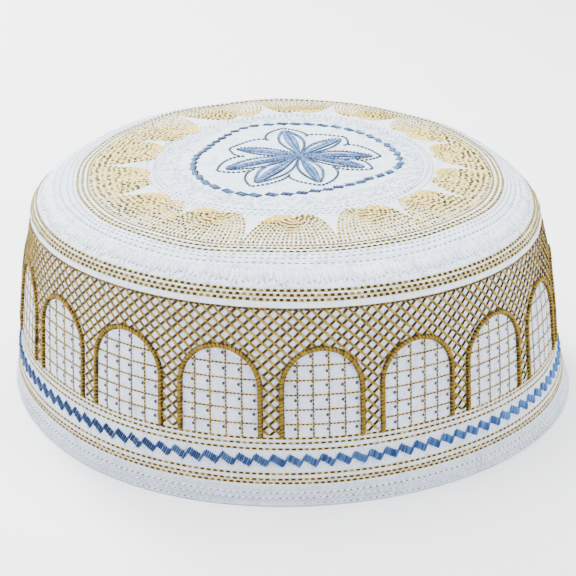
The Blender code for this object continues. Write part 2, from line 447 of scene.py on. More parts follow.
blues = {
    "royalBlueThread": ((0.065, 0.178, 0.42), (0.018, 0.068, 0.22), (0.003, 0.010, 0.045),
                        (-1.0, 2.0), (-1.0, 0.42)),
    "steelBlueThread": ((0.12, 0.26, 0.50), (0.014, 0.055, 0.17), (0.003, 0.014, 0.05),
                        (0.72, 0.1), (-1.0, 0.6)),
    # the blue ring's colours are darkened to the thread's look in shade: painted shade
    "slateBlueThread": ((0.065, 0.16, 0.32), (0.012, 0.045, 0.12), (0.002, 0.010, 0.03),
                        (0.76, 0.1), (-1.0, 0.7)),
    "tealThread": ((0.08, 0.18, 0.30), (0.04, 0.11, 0.20), (0.002, 0.009, 0.02), (0.1, 0.9), (0.05, 0.95)),
}
whites = {
    "whiteThread": ((0.86, 0.89, 0.94), (0.76, 0.80, 0.87), (0.30, 0.34, 0.42), (-1.0, 1.5), (-1.0, 0.32)),
    # the shoulder zigzag's blue-grey middle colour, which each strand takes at random, is painted shade, and
    # its dark ends are painted shade in the needle holes
    "shoulderThread": ((0.92, 0.94, 0.97), (0.56, 0.63, 0.75), (0.09, 0.11, 0.17),
                       (0.90, 0.07), (-1.0, 2.0)),
    "ghostThread": ((0.86, 0.89, 0.94), (0.74, 0.79, 0.87), (0.11, 0.13, 0.18), (0.25, 0.8), (0.1, 0.9)),
    "woolThread": ((0.86, 0.89, 0.94), (0.74, 0.79, 0.87), (0.34, 0.38, 0.46), (0.25, 0.8), (0.1, 0.9)),
    # grey thread: painted shade, sewn where the hem's stitching shows shade
    "greyShadeThread": ((0.30, 0.34, 0.41), (0.20, 0.24, 0.30), (0.05, 0.06, 0.08), (0.1, 0.9), (0.1, 0.9)),
}
threads = {}      # each thread's material and slot, by its name
for slot, shine, kinds in (("gold_thread", goldShine, golds), ("blue_thread", softShine, blues),
                           ("white_thread", softShine, whites)):
    for name, colours in kinds.items():
        threads[name] = threadFinish(name, shine, *colours), slot
# a dark disc stands for the eyelet's hole: painted shade
hole = Finish("eyeletHoleShade", Base_Color=(0.045, 0.05, 0.06, 1.0), Roughness=0.95)
threads["eyeletHoleShade"] = hole.material, "white_thread"


# cloth panels
bandCloth = {
    "foot": cap["hemHeight"] + 0.1 * mm,
    "top": cap["seamHeight"] - 0.05 * mm,
    "rowStep": 1.3 * mm,
}
crownCloth = {
    "rowStep": 1.4 * mm,
    "foldCurl": 0.5 * mm,       # how far the fold's lower edge curls in
    "curlHeight": 0.7 * mm,
}
hemCloth = {
    "sectionSteps": 26,
    "rollHeight": 1.4 * mm,     # the rolled edge below the stitched strip
    "rollReach": 0.3 * mm,
    "edgeRound": 0.6 * mm,
    "stripWidth": 11 * mm,      # the strip laid flat, before it is folded round the edge
}
lineSpread = (-0.6 * mm, -0.25 * mm, 0.0, 0.25 * mm, 0.6 * mm)      # extra rows of points beside a groove
closestRows = 0.18 * mm       # a row nearer than this to the last one is left out


def rowRuns(cloth, low, high, step):
    runs = list(np.linspace(low, high, round((high - low) / step) + 1))
    for at, _, _ in cloth["grooves"]:
        runs += [at + shift for shift in lineSpread if low < at + shift < high]
    runs = sorted(runs)
    kept = [runs[0]]
    for run in runs[1:-1]:
        if min(run - kept[-1], high - run) > closestRows:
            kept.append(run)
    return np.array(kept + [high])


def wallFlat(points):
    return np.stack([np.arctan2(points[:, 1], points[:, 0]) * rimRadius, points[:, 2]], -1)


def crownFlat(points):
    reach = np.hypot(points[:, 0], points[:, 1])
    unrolled = (crown["run"][-1] - crownRun(reach)) / np.maximum(reach, mm)
    return points[:, :2] * unrolled[:, None]


def finishShell(name, thickness, flatten, material):
    piece = bpy.context.object
    piece.name = piece.data.name = name
    editWhole(bpy.ops.mesh.remove_doubles, threshold=0.00001)
    editWhole(bpy.ops.mesh.normals_make_consistent, inside=False)
    if thickness:
        layer = piece.modifiers.new("cloth", "SOLIDIFY")
        layer.thickness, layer.offset = thickness, -1.0
        layer.use_even_offset = True
        bpy.ops.object.modifier_apply(modifier=layer.name)
    bpy.ops.object.shade_smooth_by_angle(angle=math.radians(50))
    layClothMap(piece, flatten)
    piece.data.materials.append(material)
    print(name, 2 * len(piece.data.polygons), "triangles")
    return piece


def makeBand():
    runs = rowRuns(wall, wallRun(bandCloth["foot"]), wallRun(bandCloth["top"]), bandCloth["rowStep"])
    clearSelection()
    bpy.ops.mesh.primitive_grid_add(x_subdivisions=cap["stepsRound"], y_subdivisions=len(runs) - 1, size=1)
    mesh = bpy.context.object.data
    points = readPoints(mesh)
    row = np.round((points[:, 1] + 0.5) * (len(runs) - 1)).astype(int)
    movePoints(mesh, skin(wall, 360 * points[:, 0], runs[row]))      # rolled up into a tube
    return finishShell("bandCloth", cap["bandThickness"], wallFlat, cottons["band"])


def makeCrown():
    top = crown["run"][-1]
    runs = rowRuns(crown, 0.0, top, crownCloth["rowStep"])
    rows = len(runs) - 1
    clearSelection()
    bpy.ops.mesh.primitive_uv_sphere_add(segments=cap["stepsRound"], ring_count=2 * rows, radius=1)
    mesh = bpy.context.object.data
    editWhole(bpy.ops.mesh.bisect, plane_co=(0, 0, 0), plane_no=(0, 0, 1), clear_inner=True,
              threshold=0.0001)
    points = readPoints(mesh)
    level = np.arcsin(np.clip(points[:, 2], 0, 1)) / (math.pi / 2)
    row = np.clip(np.round(level * rows).astype(int), 0, rows)
    turn = np.degrees(np.arctan2(points[:, 1], points[:, 0])) + 90
    run = runs[row]
    curl = -crownCloth["foldCurl"] * np.clip(1 - run / crownCloth["curlHeight"], 0, 1) ** 2
    movePoints(mesh, skin(crown, turn, run, curl))
    return finishShell("crownCloth", cap["crownThickness"], crownFlat, cottons["crown"])


def hemSection():
    # the hem's section as (radius, height), from its outer side up, over the top and round the inside
    top, roll = cap["hemHeight"] + 0.05 * mm, hemCloth["rollHeight"]
    edge = hemCloth["edgeRound"]
    outer = []
    for height in np.linspace(0.8 * roll, top, 16):
        bump = hemCloth["rollReach"] * math.exp(-((height - 0.45 * roll) / (0.42 * roll)) ** 2)
        groove = 0.2 * mm * math.exp(-((height - 1.15 * roll) / (0.25 * roll)) ** 2)
        outer.append((float(bandRadius(height)) + bump - groove, height))
    inner = [(r - cap["hemThickness"], h) for r, h in reversed(outer[1:])]
    inner.append((rimRadius - cap["hemThickness"], 2 * edge))
    corners = ((rimRadius - cap["hemThickness"] + edge, np.linspace(180, 270, 5)),
               (rimRadius + hemCloth["rollReach"] - edge, np.linspace(-90, 0, 6)))
    for middle, bend in corners:
        for angle in np.radians(bend):
            inner.append((middle + edge * math.cos(angle), edge * (1 + math.sin(angle))))
    return np.array(outer + inner + [outer[0]])


def makeHem():
    section = hemSection()
    along = measureAlong(section)
    steps = hemCloth["sectionSteps"]
    clearSelection()
    bpy.ops.mesh.primitive_torus_add(major_segments=cap["stepsRound"], minor_segments=steps,
                                     major_radius=1, minor_radius=0.3)
    mesh = bpy.context.object.data
    points = readPoints(mesh)
    spread = np.hypot(points[:, 0], points[:, 1]) - 1
    place = (np.arctan2(points[:, 2], spread) / math.tau) % 1.0
    angle = np.arctan2(points[:, 1], points[:, 0])
    radius = np.interp(place * along[-1], along, section[:, 0])
    height = np.interp(place * along[-1], along, section[:, 1])
    ripple = relief(wall, angle, height) * np.clip(height / cap["hemHeight"], 0, 1)
    movePoints(mesh, roundPlace(radius + ripple, angle, height))
    return finishShell("hemCloth", 0, wallFlat, cottons["hem"])


print("cloth: band, crown and hem")
bandPiece, crownPiece, hemPiece = makeBand(), makeCrown(), makeHem()
for piece, node, slot in ((bandPiece, "side_band", "band_cloth"), (crownPiece, "crown", "crown_cloth"),
                          (hemPiece, "hem", "hem_cloth")):
    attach(piece, "root")
    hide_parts(node)

crownReach = crown["run"][-1]
2 * crownReach
2 * crownReach
math.pi * crownReach ** 2


# a strand of thread, modelled once for each kind and then sewn on in long rows
def asShape(piece, points, over):
    # a stitch's form, and how far over it each point lies
    faces = [tuple(face.vertices) for face in piece.data.polygons]
    bpy.data.objects.remove(piece)
    return {"points": np.stack(points, -1), "faces": faces, "over": over}


def modelStrand(sides, cuts, endWidth, endRise):
    clearSelection()
    bpy.ops.mesh.primitive_cylinder_add(vertices=sides, radius=1, depth=1, location=(0.5, 0, 0),
                                        rotation=(0, math.pi / 2, 0))
    strand = bpy.context.object
    bpy.ops.object.transform_apply(location=True, rotation=True, scale=True)
    for cut in cuts:
        editWhole(bpy.ops.mesh.bisect, plane_co=(cut, 0, 0), plane_no=(1, 0, 0))
    editWhole(bpy.ops.mesh.normals_make_consistent, inside=False)
    points = readPoints(strand.data)
    turned = math.pi / sides if sides % 2 == 0 else math.pi / 2     # so that a flat side lies down
    y = points[:, 1] * math.cos(turned) - points[:, 2] * math.sin(turned)
    z = points[:, 1] * math.sin(turned) + points[:, 2] * math.cos(turned)
    z = (z - z.min()) / (z.max() - z.min())
    y = y / np.abs(y).max() * np.where(z > 0.9, 0.6, 1.0)           # narrower along its top
    isEnd = (points[:, 0] < 0.001) | (points[:, 0] > 0.999)
    sized = points[:, 0], np.where(isEnd, endWidth, 1) * y, np.where(isEnd, endRise, 1) * z
    return asShape(strand, sized, (y + 1) / 2)


plainStrand = modelStrand(3, (0.2, 0.8), 0.35, 0.1)
roundStrand = modelStrand(4, (0.15, 0.85), 0.4, 0.15)
flatStrand = modelStrand(4, (0.14, 0.86), 0.8, 0.5)
bowedStrand = modelStrand(3, (0.1, 0.32, 0.68, 0.9), 0.5, 0.2)


def sew(bundle, strand, starts, ends, ups, width, height, bow=0.0, sink=0.04 * mm, tone=None):
    # bow is how far a strand's middle stands up, sink how far it goes into the cloth
    starts, ends, ups = (np.asarray(a, float).reshape(-1, 3) for a in (starts, ends, ups))
    along = ends - starts
    side = np.cross(ups, along)
    side /= np.linalg.norm(side, axis=1)[:, None]
    up = np.cross(along, side)
    up /= np.linalg.norm(up, axis=1)[:, None]
    u, v, w = strand["points"].T
    raised = w * height + bow * np.abs(np.sin(np.pi * u)) ** 0.7 - sink
    points = (starts[:, None] + along[:, None] * u[:, None] + side[:, None] * (v * width / 2)[:, None]
              + up[:, None] * raised[:, None])
    tone = chance.random(len(starts)) if tone is None else tone
    bundle.append((strand, points, tone))


def finishThreads(name, bundle, finish, *nodes):
    material, slot = threads[finish]
    points, loops, sizes, maps, tones, first = [], [], [], [], [], 0
    for strand, placed, tone in bundle:
        count, size = placed.shape[:2]
        order = np.concatenate([np.array(face) for face in strand["faces"]])
        points.append(placed.reshape(-1, 3))
        loops.append((first + np.arange(count)[:, None] * size + order).ravel())
        sizes.append(np.tile([len(face) for face in strand["faces"]], count))
        maps.append(np.tile(np.stack([strand["points"][order, 0], strand["over"][order]], -1), (count, 1)))
        tones.append(np.repeat(tone, size))
        first += count * size
    points, loops, sizes = np.concatenate(points), np.concatenate(loops), np.concatenate(sizes)
    mesh = bpy.data.meshes.new(name)
    mesh.vertices.add(len(points))
    mesh.loops.add(len(loops))
    mesh.polygons.add(len(sizes))
    mesh.loops.foreach_set("vertex_index", loops.astype(np.int32))
    mesh.polygons.foreach_set("loop_start", np.concatenate([[0], np.cumsum(sizes)[:-1]]).astype(np.int32))
    movePoints(mesh, points)
    mesh.update(calc_edges=True)
    threadMap = mesh.uv_layers.new(name="thread")
    threadMap.data.foreach_set("uv", np.concatenate(maps).astype(np.float32).ravel())
    attribute = mesh.attributes.new("tone", "FLOAT", "POINT")
    attribute.data.foreach_set("value", np.concatenate(tones).astype(np.float32))
    piece = addObject(name, mesh)
    choose(piece)
    bpy.ops.object.shade_smooth()
    mesh.materials.append(material)
    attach(piece, "root")
    if nodes:
        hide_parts(*nodes)
    print(f"{name}: {len(points)} points, {int((sizes - 2).sum())} triangles")


def spaceOut(points, ups, pitch, cover=1.0, loose=0.0):
    # equal stitches along a drawn line; cover is the share of the pitch that a stitch fills
    along = measureAlong(points)
    count = max(1, round(along[-1] / pitch))
    edges = np.linspace(0, along[-1], count + 1)
    if count > 1:
        edges[1:-1] += chance.normal(0, loose * pitch, count - 1)
    blank = (1 - cover) / 2 * along[-1] / count

    def at(where, values):
        return np.stack([np.interp(where, along, column) for column in values.T], -1)

    starts, ends = edges[:-1], edges[1:]
    return at(starts + blank, points), at(ends - blank, points), at((starts + ends) / 2, ups)


fullTurn = np.linspace(-180, 180, 721)


def shake(values, size):
    return values + chance.normal(0, size, np.shape(values))


def wander(size):
    # a slow unevenness of a hand-guided line, closed after one turn
    drift = 0.0
    for waves in (3, 5, 8, 13):
        drift = drift + chance.normal() * np.sin(np.radians(fullTurn) * waves + chance.random() * 6)
    return size * drift / 2


def sewRing(bundle, cloth, run, pitch, width, height, cover, drift=0.1 * mm):
    runs = run + wander(drift)
    places = skin(cloth, fullTurn, runs), skinUp(cloth, fullTurn, runs)
    sew(bundle, flatStrand, *spaceOut(*places, pitch, cover, 0.03), width, height)


def sewWall(bundle, strand, starts, ends, *form):
    # strands between places on the wall, given as turns and heights; form is width, height and bow
    middles = [(start + end) / 2 for start, end in zip(starts, ends)]
    sew(bundle, strand, onWall(*starts), onWall(*ends), wallUp(*middles), *form)


def sewSlanted(bundle, strand, turns, levels, turnReach, rise, *form):
    # strands on the wall about their middles
    sewWall(bundle, strand, (turns - turnReach, levels - rise), (turns + turnReach, levels + rise), *form)


# In the tables below a stitch is pitch, width, height and cover, and a strand is width, height and bow.

# gold running lines round the wall, the shoulder and the crown
goldLines = {
    "wallStitch": (1.95 * mm, 0.98 * mm, 0.3 * mm, 1.1),
    "crownStitch": (1.95 * mm, 1.127 * mm, 0.39 * mm, 1.1),
    "footStitch": (1.25 * mm, 0.98 * mm, 0.3 * mm, 1.1),      # denser line under the fans
    "foldShadowStitch": (1.6 * mm, 0.9 * mm, 0.4 * mm, 1.1),        # gold line just under the fold, darkened as painted shadow of the fold
}
print("gold running lines")
bundle = []
for height in (*lines["lowerGold"], *lines["upperGold"], lines["archFoot"]):
    sewRing(bundle, wall, wallRun(height * mm), *goldLines["wallStitch"])
finishThreads("wallGoldLines", bundle, "goldRunningThread")
bundle = []
# the lattice-top gold line is thick and dark: partly the real gold line, partly the painted shadow under the
# crown's fold
sewRing(bundle, wall, wallRun(lines["latticeTop"] * mm), *goldLines["foldShadowStitch"])
finishThreads("foldLineAndShadow", bundle, "goldLatticeThread")
bundle = []
for run in (*shoulderRuns, *(crownRun(radius * mm) for radius in lines["crownGold"])):
    sewRing(bundle, crown, run, *goldLines["crownStitch"])
sewRing(bundle, crown, crownRun(lines["fanFoot"] * mm), *goldLines["footStitch"])
finishThreads("crownGoldLines", bundle, "goldRingThread")


# the arches: raised satin cords over the wall
arches = {
    "count": 19,
    "turn": 6.4,                  # the first arch, in degrees from the front
    "pierWidth": 6.3 * mm,
    "footHeight": 21.3 * mm,
    "crestHeight": 49.8 * mm,
    "headHeight": 12.7 * mm,
    "cordWidth": 1.75 * mm,
    "strandPitch": 0.4 * mm,
    "strand": (0.46 * mm, 0.34 * mm, 1.0 * mm, 0.1 * mm),     # and how far it sinks in
    "slant": 0.7 * mm,
    "twist": (-0.4, 0.15, 0.8),   # tones of the strands in turn, so that marks of painted shade run along the outer side
}
archPitch = 360 / arches["count"]
archTurns = arches["turn"] + archPitch * np.arange(arches["count"])
archHalf = archPitch / 2 - math.degrees(arches["pierWidth"] / 2 / float(bandRadius(arches["footHeight"])))
headFoot = arches["crestHeight"] - arches["headHeight"]


def archLine():
    # half widths in degrees and heights, from the left foot over the crest to the right foot
    bend = np.radians(np.arange(0, 181, 4))
    legs = np.linspace(arches["footHeight"], headFoot, 12)[:-1]
    across = archHalf * np.concatenate([-np.ones(len(legs)), -np.cos(bend), np.ones(len(legs))])
    return across, np.concatenate([legs, headFoot + arches["headHeight"] * np.sin(bend), legs[::-1]])


def insideArch(turn, height, grow):
    # whether places on the wall lie within an arch that is wider by grow on each side
    away = np.abs((turn - arches["turn"] + archPitch / 2) % archPitch - archPitch / 2)
    over = np.clip((height - headFoot) / (arches["headHeight"] + grow), 0, None)
    return (away / (archHalf + rimTurn(grow))) ** 2 + over ** 2 < 1


print("arch cords")
across, heights = archLine()
for number, middle in enumerate(archTurns, 1):
    bundle = []
    line = middle + across, heights
    starts, ends, tops = spaceOut(onWall(*line), wallUp(*line), arches["strandPitch"])
    along = ends - starts
    along /= np.linalg.norm(along, axis=1)[:, None]
    reach = np.cross(tops, along) * arches["cordWidth"] / 2 - along * arches["slant"] / 2
    middles = shake((starts + ends) / 2, 0.03 * mm)
    twist = shake(np.resize(arches["twist"], len(middles)), 0.4)
    sew(bundle, bowedStrand, middles + reach, middles - reach, tops, *arches["strand"],
        tone=np.clip(twist, -0.8, 1.0))
    finishThreads(f"archCord{number:02d}", bundle, "goldSatinThread", f"arch_cord_{number:02d}")


# the lattice between and above the arches
lattice = {
    "columns": 158,               # crossings in a turn
    "rowHeight": 3.45 * mm,
    "strand": (0.88 * mm, 0.4 * mm, 0.08 * mm),
    "overLift": 0.12 * mm,        # how far the upper threads lie over the lower ones
    # darker: more painted dark reflection on these threads
    "lowerTones": (-0.8, 0.15),
    "upperTones": (0.3, 1.0),     # darker
    "rightPaler": 0.55,           # how much paler the upper threads are at the right, where less painted dark reflection is laid on them
    "archGap": 0.4 * mm,
}
print("lattice")
bundle = []
top, foot = lines["latticeTop"] * mm, arches["footHeight"]
rowCount = math.ceil((top - foot) / lattice["rowHeight"])
step = 360 / lattice["columns"]
row, column = np.divmod(np.arange(2 * rowCount * lattice["columns"]), lattice["columns"])
for slant, lift in ((1, 0.0), (-1, lattice["overLift"])):
    turns, levels = shake((column + row % 2 / 2) * step, 0.04), top - row * lattice["rowHeight"] / 2
    ends, lows = turns + slant * step / 2, levels - lattice["rowHeight"] / 2
    middle, level = (turns + ends) / 2, (levels + lows) / 2
    keep = ~insideArch(middle, level, lattice["archGap"]) & (level > foot)
    turns, levels, ends, lows, middle, level = np.array((turns, levels, ends, lows, middle, level))[:, keep]
    # tones set how much painted dark reflection each thread takes: the upper threads more, less towards the
    # right
    if slant == 1:
        tone = chance.uniform(*lattice["lowerTones"], len(turns))
    else:
        tone = chance.uniform(*lattice["upperTones"], len(turns))
        tone -= lattice["rightPaler"] * np.clip(np.sin(np.radians(turns)), 0, 1)
    sew(bundle, plainStrand, onWall(turns, levels, lift), onWall(ends, np.maximum(lows, foot), lift),
        wallUp(middle, level), *lattice["strand"], tone=tone)
finishThreads("latticeThreads", bundle, "goldLatticeThread")


# fine grids inside the arches, with an eyelet in each cell
grid = {
    "cell": 4.66 * mm,
    "cellLevel": 35 * mm,         # height at which a cell is that wide
    "columns": 4,
    "firstColumn": -1.58,         # the left line's place, in cells from the arch's middle
    "rows": 6,
    "stitch": (1.2 * mm, 1.0, 0.05),      # pitch, cover and looseness
    "strand": (0.66 * mm, 0.26 * mm),
    "samples": 120,               # points along a line, before it is trimmed
    "eyeletLeft": 0.75 * mm,
    "eyeletDown": 1.7 * mm,
    "eyeletEdge": 1.2 * mm,       # the last column's distance inside the arch, and the least of any eyelet
    "eyeletMargin": 1.5 * mm,
    "eyeletReach": 0.87 * mm,     # half an eyelet's length
    "rim": (1.392 * mm, 0.3 * mm),
    "hole": (1.276 * mm, 0.12 * mm),
}


def sewGridLine(bundle, turns, heights, middle, fewest):
    # a line as far as it lies inside its arch, unless hardly any of it does
    line = np.array(np.broadcast_arrays(turns, heights))
    line = line[:, insideArch(*line, -0.5 * arches["cordWidth"]) & (np.abs(line[0] - middle) < archHalf)]
    if line.shape[1] > fewest:
        sew(bundle, flatStrand, *spaceOut(onWall(*line), wallUp(*line), *grid["stitch"]), *grid["strand"])


print("grids")
bundle, eyelets = [], []
foot = lines["archFoot"] * mm
cellTurn = math.degrees(grid["cell"] / float(bandRadius(grid["cellLevel"])))
for middle in archTurns:
    columnTurns = middle + (grid["firstColumn"] + np.arange(grid["columns"])) * cellTurn
    rowHeights = foot + grid["cell"] * np.arange(1, grid["rows"] + 1)
    for turn in columnTurns:
        sewGridLine(bundle, shake(turn, 0.05),
                    np.linspace(foot, arches["crestHeight"], grid["samples"]), middle, 4)
    for height in rowHeights:
        sewGridLine(bundle, middle + archHalf * np.linspace(-1, 1, grid["samples"]), height, middle, 12)
    for turn in (*columnTurns, middle + archHalf - rimTurn(grid["eyeletEdge"])):
        for height in (*rowHeights, rowHeights[-1] + grid["cell"]):
            spot = shake(turn - rimTurn(grid["eyeletLeft"]), 0.08)
            level = shake(height - grid["eyeletDown"], 0.1 * mm)
            if insideArch(spot, level, -grid["eyeletMargin"]):
                eyelets.append((spot, level))
finishThreads("archGrids", bundle, "goldGridThread")


def eyeletShape(piece):
    points = readPoints(piece.data)
    low, high = points[:, 2].min(), points[:, 2].max()
    sized = points[:, 0] + 0.5, 2 * points[:, 1], (points[:, 2] - low) / (high - low)
    return asShape(piece, sized, points[:, 1] + 0.5)


# an oval raised rim of thread, and inside it a dark disc, painted shade of the hole
print("eyelets")
clearSelection()
bpy.ops.mesh.primitive_torus_add(major_segments=9, minor_segments=4, major_radius=0.42, minor_radius=0.08)
rimShape = eyeletShape(bpy.context.object)
bpy.ops.mesh.primitive_cylinder_add(vertices=9, radius=0.4, depth=0.1)
holeShape = eyeletShape(bpy.context.object)
spots, levels = np.transpose(eyelets)
for name, shape, form, finish in (("eyeletRims", rimShape, grid["rim"], "whiteThread"),
                                  ("eyeletHoleShades", holeShape, grid["hole"], "eyeletHoleShade")):
    bundle = []
    sewSlanted(bundle, shape, spots, levels, 0.0, grid["eyeletReach"], *form)
    finishThreads(name, bundle, finish)


# blue zigzag round the wall: slanted satin blocks joined by long upward strands
blueZigzag = {
    "units": 118,
    "middle": 14.2 * mm,
    "blockWidth": 3.4 * mm,
    "drop": 1.0 * mm,             # the middles go down by this each side of the line
    "leanAlong": 0.5 * mm,        # half a slanted strand, along the wall
    "leanUp": 1.15 * mm,          # and up it
    "strands": 7,
    "strand": (0.62 * mm, 0.5 * mm, 0.35 * mm),
    "joinRise": 1.75 * mm,        # half the height of a joining strand
    "join": (0.36 * mm, 0.3 * mm, 0.15 * mm),
}
print("blue zigzag")
bundle = []
unitTurn = 360 / blueZigzag["units"]
perTurn = math.tau * float(bandRadius(blueZigzag["middle"])) / 360
place = np.arange(blueZigzag["strands"]) / (blueZigzag["strands"] - 1)
unitStarts = np.arange(blueZigzag["units"]) * unitTurn
middles = (unitStarts[:, None] + place * blueZigzag["blockWidth"] / perTurn).ravel()
levels = np.tile(blueZigzag["middle"] + (0.5 - place) * 2 * blueZigzag["drop"], blueZigzag["units"])
levels = shake(levels, 0.08 * mm)
sewSlanted(bundle, bowedStrand, middles, levels, blueZigzag["leanAlong"] / perTurn, blueZigzag["leanUp"],
           *blueZigzag["strand"])
for shift in (0.05 * mm, 0.4 * mm):
    low = unitStarts + (blueZigzag["blockWidth"] + shift - 0.35 * mm) / perTurn
    high = unitStarts + unitTurn + (shift - 0.15 * mm) / perTurn
    foot, head = (shake(np.full(len(low), blueZigzag["middle"] + side * blueZigzag["joinRise"]), 0.1 * mm)
                  for side in (-1, 1))
    sewWall(bundle, bowedStrand, (low, foot), (high, head), *blueZigzag["join"])
finishThreads("blueZigzag", bundle, "royalBlueThread")


# white stitching of the hem: two rows of slanted dashes, and an edging below them
hemRows = {
    "levels": (2.6 * mm, 4.3 * mm),
    "count": 300,
    "reach": 0.62 * mm,           # half a slanted dash, along the rim
    "rise": 0.22 * mm,            # and up the wall
    "strand": (0.46 * mm, 0.3 * mm),
    "edgingCount": 500,
    "edgingFoot": 1.9 * mm,
    "edgingHead": 4.9 * mm,
    "edgingLean": 0.22,           # degrees that its threads lean to each side
    "edgingStrand": (0.3 * mm, 0.11 * mm),
    "footLevel": 0.9 * mm,
    "dashStitch": (2.02 * mm, 0.5 * mm, 0.26 * mm, 0.42),
}
print("hem stitches")
bundle = []
for level in hemRows["levels"]:
    turns = shake(np.arange(hemRows["count"]) * 360 / hemRows["count"], 0.05)
    rise = chance.normal(hemRows["rise"], 0.05 * mm, len(turns))
    sewSlanted(bundle, roundStrand, turns, level, rimTurn(hemRows["reach"]), rise, *hemRows["strand"])
turns = shake(np.arange(hemRows["edgingCount"]) * 360 / hemRows["edgingCount"], 0.06)
foot = shake(np.full(len(turns), hemRows["edgingFoot"]), 0.1 * mm)
head = shake(np.full(len(turns), hemRows["edgingHead"]), 0.15 * mm)
lean = hemRows["edgingLean"]
sewWall(bundle, plainStrand, (turns - lean, foot), (turns + lean, head), *hemRows["edgingStrand"])
finishThreads("hemStitches", bundle, "whiteThread")
# grey dashes in the hem's rows and along its foot: painted shade in the gaps and a painted shadow row along
# the foot
bundle = []
for level in (*hemRows["levels"], hemRows["footLevel"]):
    sewRing(bundle, wall, wallRun(level), *hemRows["dashStitch"], 0.05 * mm)
finishThreads("hemDashes", bundle, "greyShadeThread")


# crown stitching, from plan places in mm; the front is at -y
def crownPlan(x, y, lift=0.0):
    return skin(crown, np.degrees(np.arctan2(x, -y)), crownRun(np.hypot(x, y) * mm), lift)


def crownUp(x, y):
    return skinUp(crown, np.degrees(np.arctan2(x, -y)), crownRun(np.hypot(x, y) * mm))


def turnPlan(turn, radius):
    # plan places, as a column for each one
    return np.array((radius * np.sin(np.radians(turn)), -radius * np.cos(np.radians(turn))))


def sewPlan(bundle, places, pitch, width, height, cover=1.0, loose=0.04, lift=0.0, paler=0.0):
    starts, ends, ups = spaceOut(crownPlan(*places, lift), crownUp(*places), pitch, cover, loose)
    sew(bundle, flatStrand, starts, ends, ups, width, height, tone=chance.random(len(starts)) - paler)


def sewAcross(bundle, strand, middles, reach, *form):
    # straight strands from their middles and half lengths, a row for each one
    starts, ends = crownPlan(*(middles - reach).T), crownPlan(*(middles + reach).T)
    sew(bundle, strand, starts, ends, crownUp(*middles.T), *form)


def curve(*places):
    # a smooth line led by four places, as a column for each point
    t = np.linspace(0, 1, 24)
    shares = np.array(((1 - t) ** 3, 3 * t * (1 - t) ** 2, 3 * t ** 2 * (1 - t), t ** 3))
    return np.transpose(np.array(places, float)) @ shares


# gold fans round the crown: running stitches that run together into a cleft
fans = {
    "valleys": (-141.9, -112.0, -85.8, -59.4, -34.4, -11.0, 13.1, 37.8, 61.0, 86.3, 112.4, 142.3, 166.1,
                189.1, 218.1),
    "clefts": ((-124.9, 48.5), (-97.0, 49.2), (-68.6, 50.3), (-43.3, 51.7), (-22.6, 50.8), (2.2, 51.6),
               (27.0, 50.5), (50.5, 51.0), (75.0, 51.7), (101.5, 52.4), (128.5, 52.3), (154.1, 53.5),
               (177.1, 52.3), (-158.9, 51.9)),
    "baseRadius": 68.6,
    "lobe": ((1.0, 0.0), (0.87, 8.5), (0.42, 24.5), (0.02, 16.6)),     # outer line: half-base share, mm up
    "innerRises": (0.0, 5.0, 11.0, 16.6),         # mm up of the line in the fan's middle
    "lines": 21,
    "stitch": (1.95 * mm, 0.86 * mm, 0.32 * mm, 1.0, 0.14),       # and looseness
    "sidePaler": 0.5,             # how much paler the threads of the side fans are: less painted dark reflection, as they are seen along their sides
    "fillLines": 8,
    "fillStep": 0.055,            # share of the half base from one filling line to the next
    "fillStart": (0.42, 0.03),    # share of the first line that is left out, and what each next one adds
    "fillStitch": (2.6 * mm, 0.62 * mm, 0.3 * mm, 1.15, 0.12, 0.05 * mm),       # looseness and lift
}


def fanLine(number, share, start=0.0):
    # the line at a share of a fan's half base, less its first part, from the foot to the cleft
    left, right = fans["valleys"][number:number + 2]
    base = (left + right) / 2
    size, side = abs(share), math.copysign(1, share)
    widths, rises = np.transpose(fans["lobe"])
    widths = size * (widths + (0, 0.1 * (1 - size), 0, 0))
    inner = np.array(fans["innerRises"])
    across, up = curve(*zip(widths, inner + (rises - inner) * size))
    pull = turnPlan(*fans["clefts"][number]) - turnPlan(base, fans["baseRadius"])
    feet = turnPlan(base + side * across * (right - left) / 2, fans["baseRadius"])
    return (feet + pull[:, None] * up / rises[3])[:, np.linspace(0, 1, len(up)) >= start]


print("fans")
fanLines, fanFill = [], []
for number in range(len(fans["clefts"])):
    base = sum(fans["valleys"][number:number + 2]) / 2
    # the side fans get less painted dark reflection
    paler = fans["sidePaler"] * min(1.0, abs(math.sin(math.radians(base))) * 1.2)
    for share in np.linspace(-0.97, 0.97, fans["lines"]):
        sewPlan(fanLines, fanLine(number, shake(share, 0.004)), *fans["stitch"], paler=paler)
    fillSide = 1 if 15 < base < 100 else -1
    first, later = fans["fillStart"]
    for place in range(fans["fillLines"]):
        line = fanLine(number, fillSide * (1.0 - fans["fillStep"] * place), first + later * place)
        sewPlan(fanFill, line, *fans["fillStitch"])
finishThreads("fanLines", fanLines, "goldFanThread")
finishThreads("fanFilling", fanFill, "goldFillThread")


